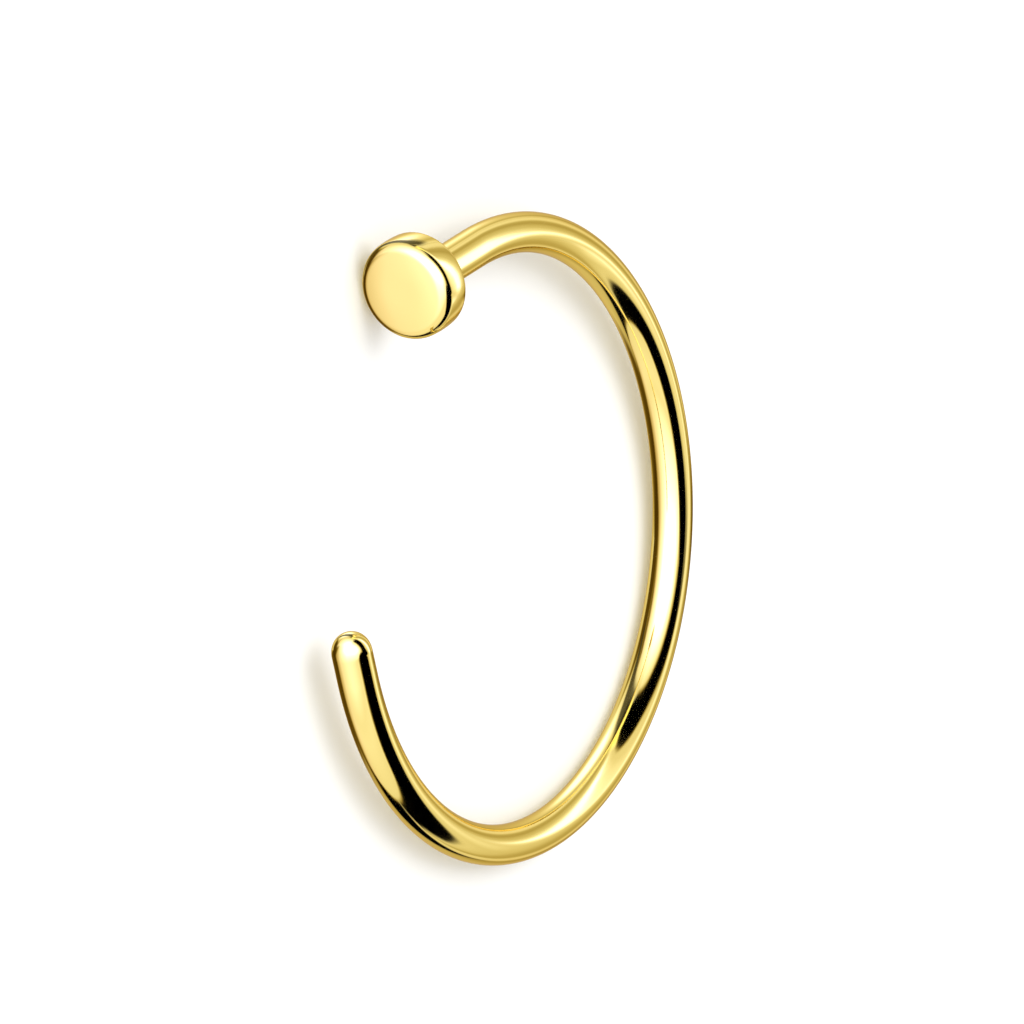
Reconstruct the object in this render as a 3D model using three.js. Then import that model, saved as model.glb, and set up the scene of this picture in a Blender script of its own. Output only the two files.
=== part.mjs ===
// An open hoop of round wire for a nose piercing. A flat disc welded to one end stops the hoop in the piercing,
// and the other end is a rounded tip that goes in. The disc, the wire and the tip are one piece of metal.
// Units are millimetres and +Z is up. The hoop lies on its side on the plane z = 0, as it does when it is put down,
// with the origin under the middle of it and the gap between its ends facing +X.
import * as THREE from "three";

// Driving dimensions
const wire = { diameter: 0.6, sides: 32 };
const hoop = { insideDiameter: 8.35, stepDegrees: 2.8 };
const disc = { diameter: 1.52, thickness: 0.6, frontRound: 0.17, backRound: 0.08, frontSteps: 6, backSteps: 3 };
const tip = { domeSteps: 7 };
// Each end of the hoop is a short straight stretch. The bend runs between these angles from the gap's middle.
const discEnd = { bendStartDegrees: 55, straight: 1.385 };
const tipEnd = { bendStopDegrees: 42, straight: 0.44 };

// Sizes worked out from them
const wireRadius = wire.diameter / 2;
const discRadius = disc.diameter / 2;
const bendRadius = hoop.insideDiameter / 2 + wireRadius;
const bendAngle = THREE.MathUtils.degToRad(360 - discEnd.bendStartDegrees - tipEnd.bendStopDegrees);
// Places along the wire's middle line, counted from the disc's flat face
const bendStart = disc.thickness + discEnd.straight;
const bendStop = bendStart + bendRadius * bendAngle;
const domeStart = bendStop + tipEnd.straight;

// A quarter of a circle in the turned outline, from one angle to another, without its first point.
function quarterRound(radius, acrossCentre, alongCentre, from, to, steps) {
  const points = [];
  for (let i = 1; i <= steps; i++) {
    const a = THREE.MathUtils.lerp(from, to, i / steps);
    points.push(new THREE.Vector2(acrossCentre + radius * Math.cos(a), alongCentre + radius * Math.sin(a)));
  }
  return points;
}

// The disc's outline: its flat face, well rounded front edge, side, rounded back edge, and back face in to the wire.
function discOutline() {
  const { thickness, frontRound, backRound, frontSteps, backSteps } = disc;
  const front = discRadius - frontRound;
  const back = discRadius - backRound;
  return [
    new THREE.Vector2(0, 0),
    new THREE.Vector2(front, 0),
    ...quarterRound(frontRound, front, frontRound, -Math.PI / 2, 0, frontSteps),
    new THREE.Vector2(discRadius, thickness - backRound),
    ...quarterRound(backRound, back, thickness - backRound, 0, Math.PI / 2, backSteps),
    new THREE.Vector2(wireRadius, thickness),
  ];
}

// The wire's outline up to the tip, with enough rings in the bend to keep it round.
function wireOutline() {
  const bendSteps = Math.round(THREE.MathUtils.radToDeg(bendAngle) / hoop.stepDegrees);
  const points = [];
  for (let i = 0; i <= bendSteps; i++) {
    points.push(new THREE.Vector2(wireRadius, THREE.MathUtils.lerp(bendStart, bendStop, i / bendSteps)));
  }
  points.push(new THREE.Vector2(wireRadius, domeStart));
  return points;
}

// The tip's outline: a half ball that ends on the axis.
function tipOutline() {
  const points = quarterRound(wireRadius, 0, domeStart, 0, Math.PI / 2, tip.domeSteps);
  points[points.length - 1].x = 0;
  return points;
}

// The wire's middle line at a length along it, in the hoop's own plane: a point and the direction away from the
// hoop's centre. It runs from the disc the long way round to the tip.
function middleLine(length) {
  const bent = THREE.MathUtils.clamp(length, bendStart, bendStop);
  const angle = -THREE.MathUtils.degToRad(discEnd.bendStartDegrees) - (bent - bendStart) / bendRadius;
  const outward = new THREE.Vector3(Math.cos(angle), Math.sin(angle), 0);
  const along = new THREE.Vector3(Math.sin(angle), -Math.cos(angle), 0);
  const point = outward.clone().multiplyScalar(bendRadius).addScaledVector(along, length - bent);
  return { point, outward };
}

// The straight pin with its disc, turned round the Y axis, is bent into the hoop: its X side becomes the outside of
// the bend, and its Z side the underside.
function bendPin(pin) {
  const position = pin.getAttribute("position");
  for (let i = 0; i < position.count; i++) {
    const { point, outward } = middleLine(position.getY(i));
    point.addScaledVector(outward, position.getX(i));
    position.setXYZ(i, point.x, point.y, -position.getZ(i));
  }
  pin.computeVertexNormals();
  return pin;
}

// The middle of the metal's mass in the hoop's plane, from short lengths of wire and the disc.
function massCentre() {
  const pieces = 200;
  const length = domeStart - disc.thickness;
  const wireShare = (Math.PI * wireRadius ** 2 * length) / pieces;
  const discShare = Math.PI * discRadius ** 2 * disc.thickness;
  const centre = middleLine(disc.thickness / 2).point.multiplyScalar(discShare);
  for (let i = 0; i < pieces; i++) {
    const along = disc.thickness + (length * (i + 0.5)) / pieces;
    centre.addScaledVector(middleLine(along).point, wireShare);
  }
  return centre.divideScalar(discShare + wireShare * pieces);
}

// How the hoop lies. The disc is wider than the wire, so the hoop touches the plane at the disc's rim and at one
// point of the wire across from it. Of all the ways to lie on two such points, it takes the one with its mass lowest.
function restingTurn() {
  const rim = middleLine(disc.thickness - disc.backRound).point;
  const mass = massCentre();
  const directions = 720;
  let best = { height: Infinity };
  for (let i = 0; i < directions; i++) {
    const angle = (2 * Math.PI * i) / directions;
    const uphill = new THREE.Vector3(Math.cos(angle), Math.sin(angle), 0);
    const reach = bendRadius + uphill.dot(rim);
    if (reach < bendRadius) continue;
    const slope = (discRadius - wireRadius) / reach;
    const height = slope * (bendRadius + uphill.dot(mass));
    if (height < best.height) best = { height, slope, uphill };
  }
  const axis = new THREE.Vector3(best.uphill.y, -best.uphill.x, 0);
  return new THREE.Quaternion().setFromAxisAngle(axis, Math.atan(best.slope));
}

// The whole hoop, laid down on z = 0 with the origin under its middle.
function layDown(mesh) {
  mesh.quaternion.copy(restingTurn());
  const box = new THREE.Box3().setFromObject(mesh, true);
  const middle = box.getCenter(new THREE.Vector3());
  mesh.position.set(-middle.x, -middle.y, -box.min.z);
  return mesh;
}

const gold = new THREE.MeshStandardMaterial({ color: 0xe6bf4a, metalness: 1, roughness: 0.08 });

const outline = [...discOutline(), ...wireOutline(), ...tipOutline()];
const noseHoop = new THREE.Mesh(bendPin(new THREE.LatheGeometry(outline, wire.sides)), gold);
noseHoop.name = "nose_hoop";

const piercingRing = new THREE.Group();
piercingRing.add(layDown(noseHoop));

export default piercingRing;
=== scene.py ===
import math

import bmesh
import bpy
from mathutils import Matrix, Quaternion, Vector


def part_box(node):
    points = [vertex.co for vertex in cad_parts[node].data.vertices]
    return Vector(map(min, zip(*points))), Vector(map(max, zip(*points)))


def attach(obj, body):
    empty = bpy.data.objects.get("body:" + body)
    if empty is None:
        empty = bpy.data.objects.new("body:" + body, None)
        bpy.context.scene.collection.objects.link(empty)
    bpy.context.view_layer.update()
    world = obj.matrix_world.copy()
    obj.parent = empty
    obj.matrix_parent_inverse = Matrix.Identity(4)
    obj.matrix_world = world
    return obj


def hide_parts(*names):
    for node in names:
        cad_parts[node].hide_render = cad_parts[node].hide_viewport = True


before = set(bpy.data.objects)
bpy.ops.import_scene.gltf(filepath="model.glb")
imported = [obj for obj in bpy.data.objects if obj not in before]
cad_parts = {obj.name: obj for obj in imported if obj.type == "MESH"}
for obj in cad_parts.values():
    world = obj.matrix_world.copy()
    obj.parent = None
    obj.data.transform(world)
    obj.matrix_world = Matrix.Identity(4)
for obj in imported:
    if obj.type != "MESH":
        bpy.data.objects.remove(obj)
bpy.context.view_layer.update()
mm = 0.001


class Shade:
    # wraps one socket of a node tree, so that shader maths reads as Python
    def __init__(self, tree, socket=None):
        self.tree = tree
        self.socket = socket

    def node(self, kind, settings=None, sockets=None, output=0):
        made = self.tree.nodes.new(kind)
        for name, value in (settings or {}).items():
            if name == "stops":
                setStops(made.color_ramp, value)
            else:
                setattr(made, name, value)
        for name, value in (sockets or {}).items():
            if isinstance(value, Shade):
                self.tree.links.new(value.socket, made.inputs[name])
            else:
                made.inputs[name].default_value = value
        return Shade(self.tree, made.outputs[output] if made.outputs else None)

    def math(self, operation, first, second=0.0, clamp=False):
        settings = {"operation": operation, "use_clamp": clamp}
        return self.node("ShaderNodeMath", settings, {0: first, 1: second})

    def __add__(self, other):
        return self.math("ADD", self, other)

    def __radd__(self, other):
        return self.math("ADD", other, self)

    def __sub__(self, other):
        return self.math("SUBTRACT", self, other)

    def __rsub__(self, other):
        return self.math("SUBTRACT", other, self)

    def __mul__(self, other):
        return self.math("MULTIPLY", self, other)

    def __rmul__(self, other):
        return self.math("MULTIPLY", other, self)

    def __truediv__(self, other):
        return self.math("DIVIDE", self, other)

    def __pow__(self, other):
        return self.math("POWER", self, other)

    def __rpow__(self, other):
        return self.math("POWER", other, self)


def setStops(ramp, stops):
    while len(ramp.elements) > 1:
        ramp.elements.remove(ramp.elements[-1])
    for i, (place, colour) in enumerate(stops):
        stop = ramp.elements[0] if i == 0 else ramp.elements.new(place)
        stop.position = place
        stop.color = (*colour, 1.0)


def rampValue(place, stops):
    # a value that changes evenly between stops of (place, value)
    low, high = stops[0][0], stops[-1][0]
    least = min(value for at, value in stops)
    most = max(value for at, value in stops)
    greys = []
    for at, value in stops:
        grey = (value - least) / (most - least)
        greys.append(((at - low) / (high - low), (grey, grey, grey)))
    share = (place - low) / (high - low)
    ramp = place.node("ShaderNodeValToRGB", {"stops": greys}, {"Fac": share})
    return ramp * (most - least) + least


def startMaterial(name):
    material = bpy.data.materials.new(name)
    material.use_nodes = True
    material.node_tree.nodes.clear()
    return material, Shade(material.node_tree)


def endMaterial(shade, surface):
    shade.node("ShaderNodeOutputMaterial", None, {"Surface": surface})


# the camera stands where the photo was taken from, in the frame of the hoop lying down
camera = {
    "lens": 604.95,
    "sensorWidth": 36,
    "aim": (-0.092 * mm, -0.453 * mm, 0.294 * mm),
    "distance": 251.0 * mm,
    "azimuth": 14.09,
    "elevation": 34.09,
    "roll": 92.2,
    "clip": (0.01, 3),
}


def directionTo(azimuth, elevation):
    a, e = math.radians(azimuth), math.radians(elevation)
    return Vector((math.cos(a) * math.cos(e), math.sin(a) * math.cos(e), math.sin(e)))


def makeCamera():
    data = bpy.data.cameras.new("camera")
    data.lens = camera["lens"]
    data.sensor_width = camera["sensorWidth"]
    data.clip_start, data.clip_end = camera["clip"]
    made = bpy.data.objects.new("camera", data)
    back = directionTo(camera["azimuth"], camera["elevation"])
    turn = Quaternion(back, math.radians(camera["roll"])) @ back.to_track_quat("Z", "Y")
    made.rotation_mode = "QUATERNION"
    made.rotation_quaternion = turn
    made.location = Vector(camera["aim"]) + back * camera["distance"]
    bpy.context.scene.collection.objects.link(made)
    bpy.context.scene.camera = made


makeCamera()
print("camera placed")

# the hoop: one wire with a disc on one end and a rounded tip on the other
hoop = {
    "wireRadius": 0.3 * mm,
    "insideDiameter": 8.35 * mm,
    "bendStartDegrees": 55,  # both from the middle of the gap
    "bendStopDegrees": 42,
    "discStraight": 1.385 * mm,
    "tipStraight": 0.44 * mm,
    "discRadius": 0.76 * mm,
    "discThickness": 0.6 * mm,
    "faceCrown": 0.022 * mm,  # how far the polished face falls away towards its rounded edge
    "faceFlat": 0.3,  # share of the face that stays flat
    "frontRound": 0.17 * mm,
    "sideTurn": 5.0,  # degrees that the barrel-shaped side turns in towards both faces
    "backRound": 0.08 * mm,
    "weldRound": 0.05 * mm,
    "tipEarly": 0.03 * mm,  # the tip starts to narrow this much before a half ball would
    "tipPower": 2.1,  # 2 is an ellipse, and more is blunter
    "leanDegrees": 2.905,  # the lean that the CAD solid has, and the way it goes up
    "uphillDegrees": -24.0,
    "sides": 72,
    "ringStep": 0.5,  # degrees of the bend
    "faceRings": 24,
    "frontRings": 24,
    "sideRings": 12,
    "backRings": 12,
    "weldRings": 8,
    "tipRings": 28,
}

# worked out from them; the last four are lengths along the wire, from the disc's face
bendRadius = hoop["insideDiameter"] / 2 + hoop["wireRadius"]
bendDegrees = 360 - hoop["bendStartDegrees"] - hoop["bendStopDegrees"]
bendStart = hoop["discThickness"] + hoop["discStraight"]
bendStop = bendStart + bendRadius * math.radians(bendDegrees)
domeStart = bendStop + hoop["tipStraight"]
tipEnd = domeStart + hoop["wireRadius"]


def arcPoints(radius, alongCentre, acrossCentre, fromDegrees, toDegrees, steps):
    points = []
    for i in range(1, steps + 1):
        a = math.radians(fromDegrees + (toDegrees - fromDegrees) * i / steps)
        points.append((alongCentre + radius * math.sin(a), acrossCentre + radius * math.cos(a)))
    return points


def faceOutline(edge):
    # the flat middle of the disc's face and its slight crown, out to where the rounding starts
    points = []
    for i in range(1, hoop["faceRings"] + 1):
        share = i / hoop["faceRings"]
        fall = max(0.0, (share - hoop["faceFlat"]) / (1 - hoop["faceFlat"])) ** 2
        points.append((hoop["faceCrown"] * fall, edge * share))
    return points


def sideOutline(start, stop, bulge):
    # the disc's barrel-shaped side, widest in its middle
    points = []
    for i in range(1, hoop["sideRings"] + 1):
        share = i / hoop["sideRings"]
        points.append((start + (stop - start) * share, hoop["discRadius"] - bulge * (2 * share - 1) ** 2))
    return points


def discOutline():
    # pairs of (length along the wire, radius), out from the middle of the face and back in to the wire
    front, back, weld = hoop["frontRound"], hoop["backRound"], hoop["weldRound"]
    thick, sideTurn = hoop["discThickness"], hoop["sideTurn"]
    edge = hoop["discRadius"] - front
    slope = math.atan(2 * hoop["faceCrown"] / (edge * (1 - hoop["faceFlat"])))
    side = math.radians(sideTurn)
    # the front rounding starts at the slope where the crown ends, and stops where the barrel's side starts
    bulge = (thick - front - back) / 4 * math.tan(side)
    reach = (front - bulge) / (math.cos(side) - math.sin(slope))
    depth = hoop["faceCrown"] + reach * math.cos(slope)
    across = edge - reach * math.sin(slope)
    outline = faceOutline(edge)
    outline += arcPoints(reach, depth, across, math.degrees(slope) - 90, -sideTurn, hoop["frontRings"])
    outline += sideOutline(outline[-1][0], thick - back + back * math.sin(side), bulge)
    across = hoop["discRadius"] - bulge - back * math.cos(side)
    outline += arcPoints(back, thick - back, across, sideTurn, 90, hoop["backRings"])
    weldRadius = hoop["wireRadius"] + weld
    outline.append((thick, weldRadius))
    for along, out in arcPoints(weld, 0, 0, 90, 0, hoop["weldRings"]):
        outline.append((thick + weld - along, weldRadius - out))
    return outline


def tipOutline(start):
    # the blunt rounded tip, up to but not including its very end
    points = []
    for i in range(1, hoop["tipRings"]):
        a = math.radians(90 * i / hoop["tipRings"])
        along = max(0.0, math.sin(a)) ** (2 / hoop["tipPower"])
        across = max(0.0, math.cos(a)) ** (2 / hoop["tipPower"])
        points.append((start + (tipEnd - start) * along, hoop["wireRadius"] * across))
    return points


def wholeOutline():
    outline = discOutline()
    wireStart, wireStop = outline[-1][0], domeStart - hoop["tipEarly"]
    rings = round((wireStop - wireStart) / (bendRadius * math.radians(hoop["ringStep"])))
    for i in range(1, rings + 1):
        outline.append((wireStart + (wireStop - wireStart) * i / rings, hoop["wireRadius"]))
    return outline + tipOutline(wireStop)


def middleLine(length):
    # a point on the wire's middle line, and the direction there away from the hoop's centre
    bent = min(max(length, bendStart), bendStop)
    a = -math.radians(hoop["bendStartDegrees"]) - (bent - bendStart) / bendRadius
    outward = Vector((math.cos(a), math.sin(a), 0))
    along = Vector((math.sin(a), -math.cos(a), 0))
    return outward * bendRadius + along * (length - bent), outward


def hoopPoints(outline):
    # a ring of points for each pair, then the middle of the disc's face and the very end of the tip
    points = []
    for length, radius in outline:
        centre, outward = middleLine(length)
        for k in range(hoop["sides"]):
            a = 2 * math.pi * k / hoop["sides"]
            points.append(centre + outward * (radius * math.cos(a)) + Vector((0, 0, radius * math.sin(a))))
    return points + [middleLine(0)[0], middleLine(tipEnd)[0]]


def hoopFaces(rings):
    sides = hoop["sides"]
    faces = []
    for ring in range(rings - 1):
        for k in range(sides):
            a, b = ring * sides + k, ring * sides + (k + 1) % sides
            faces.append((a, b, b + sides, a + sides))
    faceMiddle = rings * sides
    tipPoint = faceMiddle + 1
    lastRing = (rings - 1) * sides
    faces += [(faceMiddle, (k + 1) % sides, k) for k in range(sides)]
    faces += [(tipPoint, lastRing + k, lastRing + (k + 1) % sides) for k in range(sides)]
    return faces


def surfaceRuns(outline):
    # how far the middle of the face, each ring and the tip's end are along the metal's surface
    runs = [0.0]
    before = (0.0, 0.0)
    for place in [*outline, (tipEnd, 0.0)]:
        runs.append(runs[-1] + math.dist(before, place))
        before = place
    return runs


def addWireMap(mesh, outline):
    # u runs along the metal's surface from the middle of the face to the tip, v once round, both in mm
    sides = hoop["sides"]
    girth = 2 * math.pi * hoop["wireRadius"]
    faceMiddle = len(outline) * sides
    runs = surfaceRuns(outline)
    layer = mesh.uv_layers.new(name="alongWire")
    for face in mesh.polygons:
        corners = [mesh.loops[i].vertex_index for i in face.loop_indices]
        turns = [corner % sides for corner in corners if corner < faceMiddle]
        wraps = max(turns) - min(turns) > sides / 2
        for i, corner in zip(face.loop_indices, corners):
            if corner >= faceMiddle:
                run = runs[0] if corner == faceMiddle else runs[-1]
                turn = sides - 0.5 if wraps else sum(turns) / len(turns)
            else:
                run = runs[1 + corner // sides]
                turn = sides if wraps and corner % sides == 0 else corner % sides
            layer.uv[i].vector = (run / mm, turn / sides * girth / mm)


def layDown(mesh):
    # the disc is wider than the wire, so the hoop lies with a small lean; its box is set on the CAD box
    uphill = math.radians(hoop["uphillDegrees"])
    axis = Vector((math.sin(uphill), -math.cos(uphill), 0))
    mesh.transform(Matrix.Rotation(math.radians(hoop["leanDegrees"]), 4, axis))
    low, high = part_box("nose_hoop")
    middle = (Vector(low) + Vector(high)) / 2
    corners = [v.co for v in mesh.vertices]
    lows = Vector([min(c[i] for c in corners) for i in range(3)])
    highs = Vector([max(c[i] for c in corners) for i in range(3)])
    shift = middle - (lows + highs) / 2
    shift.z = low[2] - lows.z
    mesh.transform(Matrix.Translation(shift))


def makeHoop():
    outline = wholeOutline()
    mesh = bpy.data.meshes.new("golden_hoop")
    mesh.from_pydata(hoopPoints(outline), [], hoopFaces(len(outline)))
    addWireMap(mesh, outline)
    layDown(mesh)
    mesh.shade_smooth()
    made = bpy.data.objects.new("golden_hoop", mesh)
    bpy.context.scene.collection.objects.link(made)
    return made


# mirror-polished gold plating, with a faint haze, polish lines along the wire and a little wear on the
# disc's rounded edge
plating = {
    "colour": (1.0, 0.815, 0.29),
    "warmColour": (1.0, 0.79, 0.265),
    "edgeTint": (0.8, 0.65, 0.45),
    "cloudSize": 1.4 * mm,
    "cloudDetail": 1.0,
    "hazeSize": 0.25 * mm,
    "hazeDetail": 4.0,
    "lineLength": 1.6,  # mm along the wire
    "lineDetail": 2.0,
    "linesRound": 60,
    "linesFrom": [(1.6, 0), (2.2, 1)],  # by mm along the metal from the middle of the face: none on the disc
    "wearAlong": [(0.52, 0), (0.62, 1), (0.8, 1), (0.9, 0)],  # by the same, over the disc's rounded edge
    "wearPatches": [(0.45, 0), (0.7, 1)],  # by the haze, so that the wear comes and goes
    "roughness": 0.05,
    "hazeRoughness": 0.03,
    "lineRoughness": 0.03,
    "wearRoughness": 0.08,
    "relief": 0.0002 * mm,
    "hazeHeight": 0.5,  # shares of the relief
    "lineHeight": 0.5,
}


def mixColours(shade, share, first, second):
    # the Mix node's colour sockets come after its number and vector ones
    sockets = {0: share, 6: (*first, 1), 7: (*second, 1)}
    return shade.node("ShaderNodeMix", {"data_type": "RGBA"}, sockets, output=2)


def objectNoise(shade, size, detail):
    place = shade.node("ShaderNodeTexCoord", output="Object")
    return shade.node("ShaderNodeTexNoise", None, {"Vector": place, "Scale": 1 / size, "Detail": detail})


def polishLines(shade, along, around):
    # noise drawn out along the wire, and wrapped round it so that it has no seam
    turn = around * (mm / hoop["wireRadius"])
    ring = plating["linesRound"] / (2 * math.pi)
    parts = {
        "X": along * (1 / plating["lineLength"]),
        "Y": turn.math("COSINE", turn) * ring,
        "Z": turn.math("SINE", turn) * ring,
    }
    place = shade.node("ShaderNodeCombineXYZ", None, parts)
    sockets = {"Vector": place, "Scale": 1.0, "Detail": plating["lineDetail"]}
    return shade.node("ShaderNodeTexNoise", None, sockets) * rampValue(along, plating["linesFrom"])


def goldPlating():
    material, shade = startMaterial("gold_plating")
    wireMap = shade.node("ShaderNodeUVMap", {"uv_map": "alongWire"})
    along, around = (shade.node("ShaderNodeSeparateXYZ", None, {"Vector": wireMap}, axis) for axis in "XY")
    lines = polishLines(shade, along, around)
    cloud = objectNoise(shade, plating["cloudSize"], plating["cloudDetail"])
    haze = objectNoise(shade, plating["hazeSize"], plating["hazeDetail"])
    wear = rampValue(along, plating["wearAlong"]) * rampValue(haze, plating["wearPatches"])
    roughness = plating["roughness"] + plating["hazeRoughness"] * haze
    roughness = roughness + plating["lineRoughness"] * lines + plating["wearRoughness"] * wear
    height = haze * plating["hazeHeight"] + lines * plating["lineHeight"]
    relief = {"Height": height, "Distance": plating["relief"], "Strength": 1.0}
    sockets = {
        "Base Color": mixColours(shade, cloud, plating["colour"], plating["warmColour"]),
        "Metallic": 1.0,
        "Roughness": roughness,
        "Specular Tint": (*plating["edgeTint"], 1),
        "Normal": shade.node("ShaderNodeBump", None, relief),
    }
    endMaterial(shade, shade.node("ShaderNodeBsdfPrincipled", None, sockets))
    return material


goldenHoop = makeHoop()
goldenHoop.data.materials.append(goldPlating())
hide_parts("nose_hoop")
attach(goldenHoop, "root")
print("hoop made,", len(goldenHoop.data.polygons), "faces")

# a plain studio: a pale floor under soft white light
studio = {
    "floorColour": (0.9, 0.9, 0.9),
    "floorHalf": 0.6,
    "softLight": 1.35,
    "lampSize": 0.25,
    "lampPower": 0.4,
    "lampPlace": (0.02, -0.14, 0.3),
}


def makeFloor():
    half = studio["floorHalf"]
    mesh = bpy.data.meshes.new("floor")
    corners = [(-half, -half, 0), (half, -half, 0), (half, half, 0), (-half, half, 0)]
    mesh.from_pydata(corners, [], [(0, 1, 2, 3)])
    floor = bpy.data.objects.new("floor", mesh)
    material, shade = startMaterial("pale_floor")
    surface = shade.node("ShaderNodeBsdfDiffuse", None, {"Color": (*studio["floorColour"], 1)})
    endMaterial(shade, surface)
    mesh.materials.append(material)
    bpy.context.scene.collection.objects.link(floor)
    floor.visible_glossy = False


def makeSoftLight():
    world = bpy.data.worlds.new("soft_light")
    world.use_nodes = True
    world.node_tree.nodes.clear()
    shade = Shade(world.node_tree)
    light = shade.node("ShaderNodeBackground", None, {"Strength": studio["softLight"]})
    shade.node("ShaderNodeOutputWorld", None, {"Surface": light})
    world.cycles_visibility.glossy = False
    bpy.context.scene.world = world


def makeLamp():
    lamp = bpy.data.lights.new("soft_lamp", "AREA")
    lamp.size = studio["lampSize"]
    lamp.energy = studio["lampPower"]
    made = bpy.data.objects.new("soft_lamp", lamp)
    made.location = studio["lampPlace"]
    made.rotation_euler = made.location.to_track_quat("Z", "Y").to_euler()
    made.visible_glossy = False
    bpy.context.scene.collection.objects.link(made)


# the polished gold mirrors a light tent that only reflections see. Its panels hang on four domes round it.
# Their places and soft edges are in degrees: round from +X over +Y, and up from the floor
tent = {
    "behindFrom": 60,  # the way round to what hangs behind is counted on from here
    "greenPower": 1.2,  # light gets warmer as it gets weaker
    "bluePower": 2.1,
    "leastTop": 0.5,  # these two keep a share from being taken of nothing
    "leastCover": 0.001,
    "domeSplits": 6,
}


def beyond(distance, soft):
    # 0 on one side of an edge and 1 on the other, over a soft width
    share = distance / soft
    return share.math("ADD", share, 0.5, clamp=True)


def howFar(value):
    return value.math("ABSOLUTE", value)


def larger(first, second):
    return first.math("MAXIMUM", first, second)


def domePlace(shade, radius):
    # degrees round and up on a dome
    place = shade.node("ShaderNodeNewGeometry", output="Position")
    x, y, z = (shade.node("ShaderNodeSeparateXYZ", None, {"Vector": place}, axis) for axis in "XYZ")
    around = shade.math("ARCTAN2", y, x) * math.degrees(1)
    up = shade.math("ARCSINE", z / radius) * math.degrees(1)
    return around, up


def countedOn(around):
    return around + 360 * around.math("LESS_THAN", around, tent["behindFrom"])


def warmLight(shade, light, green=1.0, blue=1.0):
    sockets = {
        "Red": light,
        "Green": light ** tent["greenPower"] * green,
        "Blue": light ** tent["bluePower"] * blue,
    }
    colour = shade.node("ShaderNodeCombineColor", None, sockets)
    return shade.node("ShaderNodeEmission", None, {"Color": colour})


def coveredBy(shade, light, cover):
    # see-through where the sheet ends
    clear = shade.node("ShaderNodeBsdfTransparent")
    return shade.node("ShaderNodeMixShader", None, {0: cover, 1: clear, 2: light})


# the big white panel on the camera's side: its edges, how soft they are, its light and its hot middle
frontPanel = {
    "left": [(-30, -42), (0, -43), (30, -46.5), (60, -51.5), (75, -58), (84, -72)],
    "right": [(-45, 108), (0, 109.5), (30, 110.5), (34, 109), (46, 94), (60, 76), (74, 50), (84, 35)],
    "bottom": [(-50, -10), (-40, -17), (-20, -32), (0, -45), (40, -60), (60, -60), (80, -55), (110, -42)],
    "leftSoft": [(0, 3), (40, 5), (60, 9), (80, 30)],
    "rightSoft": [(30, 3), (45, 12), (80, 24)],
    "bottomSoft": 10,
    "across": [(-48, 0.93), (-20, 1.05), (60, 1.05), (75, 1.0), (86, 1.05), (110, 0.92)],
    "up": [(-60, 0.45), (-47, 0.7), (-39, 0.88), (-34, 0.97), (70, 0.97), (88, 0.5)],
    "hotAcross": [(-46, 0), (-28, 0.66), (-10, 1.2), (15, 1.2), (38, 0.7), (62, 0.3), (78, 0)],
    "hotUp": [(-44, 0), (-28, 0.18), (-12, 0.62), (5, 1), (50, 1), (72, 0.42), (84, 0)],
    "peach": [(-60, 0.86), (-34, 0.95), (-20, 1.0)],  # less green in its lowest part
}


def panelLight(around, up):
    # the front panel's light, and how green it is
    even = rampValue(around, frontPanel["across"]) * rampValue(up, frontPanel["up"])
    hot = rampValue(around, frontPanel["hotAcross"]) * rampValue(up, frontPanel["hotUp"])
    return even + hot, rampValue(up, frontPanel["peach"])


def panelCover(around, up):
    panel = frontPanel
    cover = beyond(around - rampValue(up, panel["left"]), rampValue(up, panel["leftSoft"]))
    cover = cover * beyond(rampValue(up, panel["right"]) - around, rampValue(up, panel["rightSoft"]))
    return cover * beyond(up - rampValue(around, panel["bottom"]), panel["bottomSoft"])


# the front panel's left end comes nearer, so it shows further round from the disc and the tip
frontStrip = {
    "radius": 17.4 * mm,
    "from": -60,
    "to": 12,
    "low": -60,
    "high": 30,
    "left": -52.5,
    "leftSoft": 4,
    "right": 2,
    "rightSoft": 14,
    "bottom": [(-52, -32), (-36, -36), (-28, -43), (0, -50)],
    "bottomSoft": 8,
    "top": 22,
    "topSoft": 12,
}


def stripLight(shade):
    strip = frontStrip
    around, up = domePlace(shade, strip["radius"])
    light, green = panelLight(around, up)
    cover = beyond(around - strip["left"], strip["leftSoft"])
    cover = cover * beyond(strip["right"] - around, strip["rightSoft"])
    cover = cover * beyond(up - rampValue(around, strip["bottom"]), strip["bottomSoft"])
    cover = cover * beyond(strip["top"] - up, strip["topSoft"])
    return light, green, cover


# a dark flag beside that strip, close to the disc and the tip
flag = {
    "radius": 10.2 * mm,
    "from": -82,
    "to": -44,
    "low": -72,
    "high": 16,
    "left": -75,
    "right": -50,
    "top": 4,
    "soft": 5,
    "light": 0.04,
    "cover": 0.9,
}


def flagCover(shade):
    around, up = domePlace(shade, flag["radius"])
    soft = flag["soft"]
    cover = beyond(around - flag["left"], soft) * beyond(flag["right"] - around, soft)
    return cover * beyond(flag["top"] - up, soft) * flag["cover"]


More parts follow.
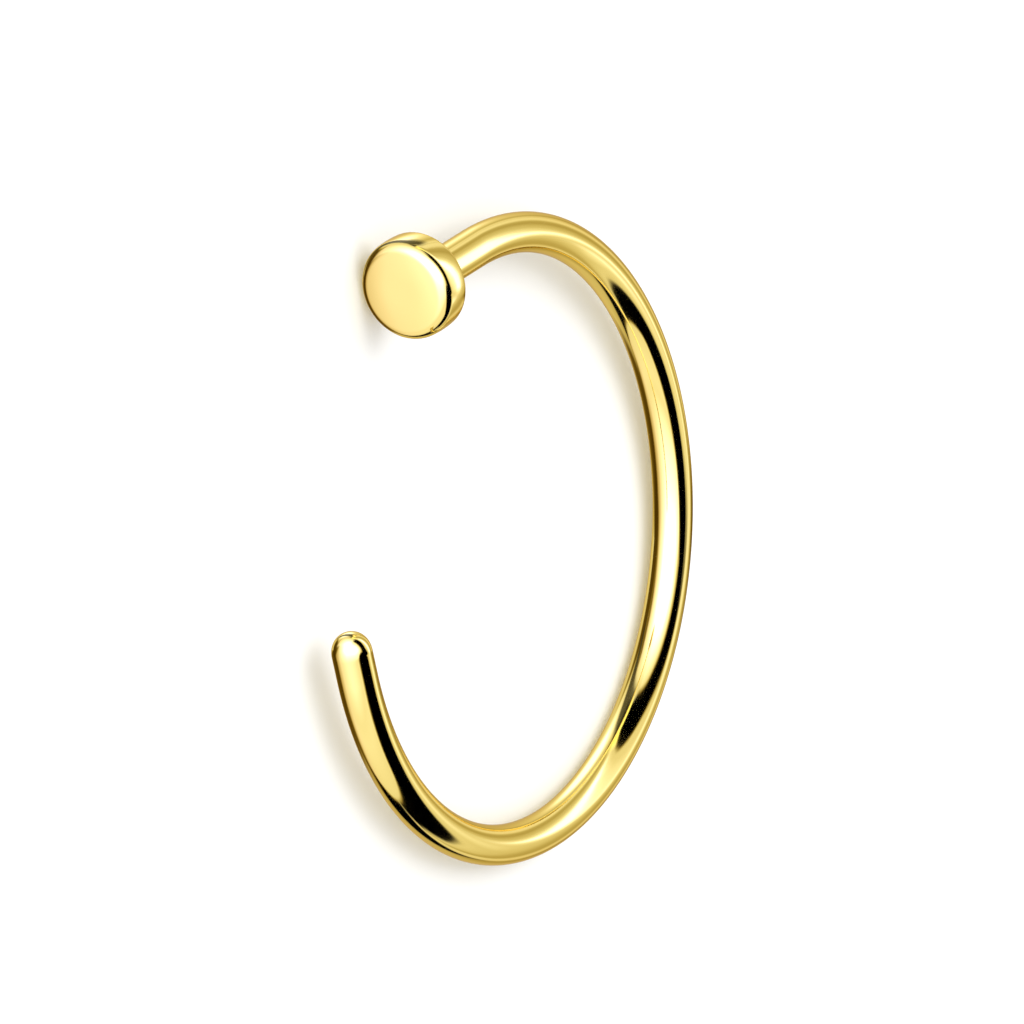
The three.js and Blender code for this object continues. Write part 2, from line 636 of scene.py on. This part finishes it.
# the arched sheet behind: its top by the way round, and its light by the share of that height
farArch = {
    "top": [
        (176, 58), (184, 53), (191, 48), (210, 58), (225, 61), (240, 60), (258, 54), (268, 47), (278, 38),
        (288, 25), (298, 11),
    ],
    "topSoft": 4,
    "foot": [(270, -1), (295, 1.5), (318, 3)],
    "footSoft": 3,
    "from": 178,
    "fromSoft": 6,
    "to": 325,
    "light": [
        (0, 0.9), (0.07, 0.97), (0.13, 0.92), (0.22, 0.55), (0.31, 0.49), (0.41, 0.66), (0.6, 0.85),
        (1, 0.87),
    ],
    "bandAcross": [(186, 0), (192, 0.25), (199, 1), (262, 1), (272, 0.7), (288, 0)],
    "bandUp": [(0.46, 0), (0.54, 0.2), (0.6, 0.95), (0.68, 1), (0.74, 0.4), (0.88, 0)],  # of both sheets
    "yellow": [(284, 0), (292, 1)],  # the narrow end of the sheet is a saturated yellow line
    "yellowLight": 0.6,
    "yellowDepth": 0.7,
}


def sheetLight(sheet, behind, up, top):
    share = up / larger(top, tent["leastTop"])
    band = rampValue(behind, sheet["bandAcross"]) * rampValue(share, farArch["bandUp"])
    return rampValue(share, sheet["light"]) + band


def farSheet(behind, up):
    # the far arched sheet's light, and how much blue its yellow end takes away
    top = rampValue(behind, farArch["top"])
    cover = beyond(top - up, farArch["topSoft"])
    cover = cover * beyond(up - rampValue(behind, farArch["foot"]), farArch["footSoft"])
    cover = cover * beyond(behind - farArch["from"], farArch["fromSoft"])
    cover = cover * behind.math("LESS_THAN", behind, farArch["to"])
    yellow = rampValue(behind, farArch["yellow"])
    light = sheetLight(farArch, behind, up, top) + farArch["yellowLight"] * yellow
    return light * cover, farArch["yellowDepth"] * yellow * cover


# the table on the far side and the darker floor below it
table = {
    "top": [
        (60, -44), (115, -42), (180, -30), (190, 1), (274, 1), (290, -4), (305, -10), (318, -14),
        (345, -30),
    ],
    "topSoft": 5,
    "across": [
        (130, 0.13), (176, 0.24), (181, 0.64), (215, 0.72), (235, 0.85), (290, 0.97), (305, 0.75),
        (328, 0.2),
    ],
    "up": [(-50, 1.05), (-14, 0.95), (-8, 0.7), (-3, 1.0), (0, 1.25)],
    "deep": [
        (60, 0.06), (130, 0.1), (176, 0.2), (184, 0.5), (198, 0.85), (262, 0.8), (280, 0.25), (300, 0.1),
        (420, 0.06),
    ],
    "deepTop": -57,
    "deepSoft": 8,
}


def farTable(behind, up):
    deep = beyond(table["deepTop"] - up, table["deepSoft"])
    light = rampValue(behind, table["across"]) * rampValue(up, table["up"])
    light = light * (1 - deep) + rampValue(behind, table["deep"]) * deep
    return light * beyond(rampValue(behind, table["top"]) - up, table["topSoft"])


# a dark upright in front of the arched sheet
upright = {
    "at": 192,
    "half": 5,
    "sideSoft": 4,
    "low": -15,
    "lowSoft": 4,
    "high": 14,
    "highSoft": 8,
    "dark": 0.8,
}


def uprightShade(behind, up):
    dark = beyond(upright["half"] - howFar(behind - upright["at"]), upright["sideSoft"])
    dark = dark * beyond(upright["high"] - up, upright["highSoft"])
    dark = dark * beyond(up - upright["low"], upright["lowSoft"])
    return 1 - upright["dark"] * dark


# a bright card lying low behind, with an even middle and soft edges
card = {"at": 268, "half": 22, "up": -33, "halfUp": 14, "evenMiddle": 1.5, "edgePower": 3, "light": 1.78}


def cardGlow(behind, up):
    sideways = (howFar(behind - card["at"]) / card["half"]) ** card["edgePower"]
    upwards = (howFar(up - card["up"]) / card["halfUp"]) ** card["edgePower"]
    glow = card["evenMiddle"] * math.e ** (-1 * (sideways + upwards))
    return glow.math("MINIMUM", glow, 1)


farDome = {"radius": 60 * mm}


def farLight(shade):
    # the light of all that hangs far away, and how much green and blue is left in it
    around, up = domePlace(shade, farDome["radius"])
    behind = countedOn(around)
    sheet, yellow = farSheet(behind, up)
    light = larger(farTable(behind, up), sheet) * uprightShade(behind, up)
    light = light + (card["light"] - light) * cardGlow(behind, up)
    white, green = panelLight(around, up)
    front = panelCover(around, up)
    light = light * (1 - front) + white * front
    return light, 1 - front * (1 - green), 1 - yellow


# the near sheet on the tip's side, with the table before it and the bright line where they meet
nearDome = {
    "radius": 25 * mm,
    "from": 104,
    "to": 200,
    "low": -62,
    "high": 60,
    "right": 189,
    "rightSoft": 10,
}
nearArch = {
    "top": [
        (112, 0), (120, 2), (131, 10), (139, 20), (145, 26), (153, 35), (160, 42), (168, 48), (180, 56),
    ],
    "topSoft": 5,
    "foot": -1,
    "footSoft": 3,
    "left": 119,
    "leftSoft": 3,
    "light": [
        (0, 0.9), (0.05, 0.92), (0.14, 0.7), (0.22, 0.52), (0.36, 0.56), (0.48, 0.72), (0.8, 0.85),
        (1, 0.75),
    ],
    "bandAcross": [(160, 0), (176, 0.25), (190, 0.7)],
}
nearTable = {
    "top": [(110, -45), (117, -40), (122, -33), (132, -19), (143, -7), (151, -1)],
    "topSoft": 6,
    "bottom": -52,
    "bottomSoft": 8,
    "left": 112,
    "leftSoft": 4,
    "across": [(112, 0.4), (124, 0.55), (140, 0.68), (160, 0.74), (190, 0.66)],
    "up": [(-50, 1.05), (-20, 1.0), (-8, 0.66), (-3, 0.9), (0, 1.25)],
}
nearLine = {
    "middle": [(110, -5), (119, -4.5), (129, -2), (144, 0.5)],
    "half": [(110, 0.6), (119, 2.2), (129, 4), (144, 5)],
    "soft": 2.5,
    "light": 0.85,
}


def archCover(behind, up, top):
    cover = beyond(top - up, nearArch["topSoft"]) * beyond(up - nearArch["foot"], nearArch["footSoft"])
    return cover * beyond(behind - nearArch["left"], nearArch["leftSoft"])


def tableCover(behind, up):
    cover = beyond(rampValue(behind, nearTable["top"]) - up, nearTable["topSoft"])
    cover = cover * beyond(up - nearTable["bottom"], nearTable["bottomSoft"])
    return cover * beyond(behind - nearTable["left"], nearTable["leftSoft"])


def nearLight(shade):
    # the light of the near sheet, and how much of it hangs at each place
    around, up = domePlace(shade, nearDome["radius"])
    behind = countedOn(around)
    top = rampValue(behind, nearArch["top"])
    sheet = larger(archCover(behind, up, top), tableCover(behind, up))
    offLine = howFar(up - rampValue(behind, nearLine["middle"]))
    line = beyond(rampValue(behind, nearLine["half"]) - offLine, nearLine["soft"])
    above = up.math("GREATER_THAN", up, 0)
    tableLight = rampValue(behind, nearTable["across"]) * rampValue(up, nearTable["up"])
    light = sheetLight(nearArch, behind, up, top) * above + tableLight * (1 - above)
    cover = larger(sheet, line)
    light = larger(light * sheet, nearLine["light"] * line) / larger(cover, tent["leastCover"])
    return light, cover * beyond(nearDome["right"] - behind, nearDome["rightSoft"])


def onPatch(patch):
    # whether a place is on the part of a dome that is kept
    def keep(place):
        around = math.degrees(math.atan2(place.y, place.x))
        around += 360 if around < patch["from"] else 0
        up = math.degrees(math.asin(place.z / place.length))
        return around < patch["to"] and patch["low"] < up < patch["high"]

    return keep


def makeDome(name, radius, material, keep=None):
    mesh = bpy.data.meshes.new(name)
    shape = bmesh.new()
    bmesh.ops.create_icosphere(shape, subdivisions=tent["domeSplits"], radius=radius)
    if keep:
        outside = [face for face in shape.faces if not keep(face.calc_center_median())]
        bmesh.ops.delete(shape, geom=outside, context="FACES")
    shape.to_mesh(mesh)
    shape.free()
    material.cycles.emission_sampling = "NONE"
    mesh.materials.append(material)
    made = bpy.data.objects.new(name, mesh)
    bpy.context.scene.collection.objects.link(made)
    made.visible_camera = False
    made.visible_diffuse = False
    made.visible_shadow = False


def makeTent():
    material, shade = startMaterial("far_panels")
    endMaterial(shade, warmLight(shade, *farLight(shade)))
    makeDome("far_dome", farDome["radius"], material)
    material, shade = startMaterial("near_sheet")
    light, cover = nearLight(shade)
    endMaterial(shade, coveredBy(shade, warmLight(shade, light), cover))
    makeDome("near_dome", nearDome["radius"], material, onPatch(nearDome))
    material, shade = startMaterial("front_strip")
    light, green, cover = stripLight(shade)
    endMaterial(shade, coveredBy(shade, warmLight(shade, light, green), cover))
    makeDome("strip_dome", frontStrip["radius"], material, onPatch(frontStrip))
    material, shade = startMaterial("dark_flag")
    dark = shade.node("ShaderNodeEmission", None, {"Strength": flag["light"]})
    endMaterial(shade, coveredBy(shade, dark, flagCover(shade)))
    makeDome("flag_dome", flag["radius"], material, onPatch(flag))


makeFloor()
makeSoftLight()
makeLamp()
makeTent()
print("studio lit")

view = bpy.context.scene.view_settings
view.view_transform = "Standard"
view.look = "None"
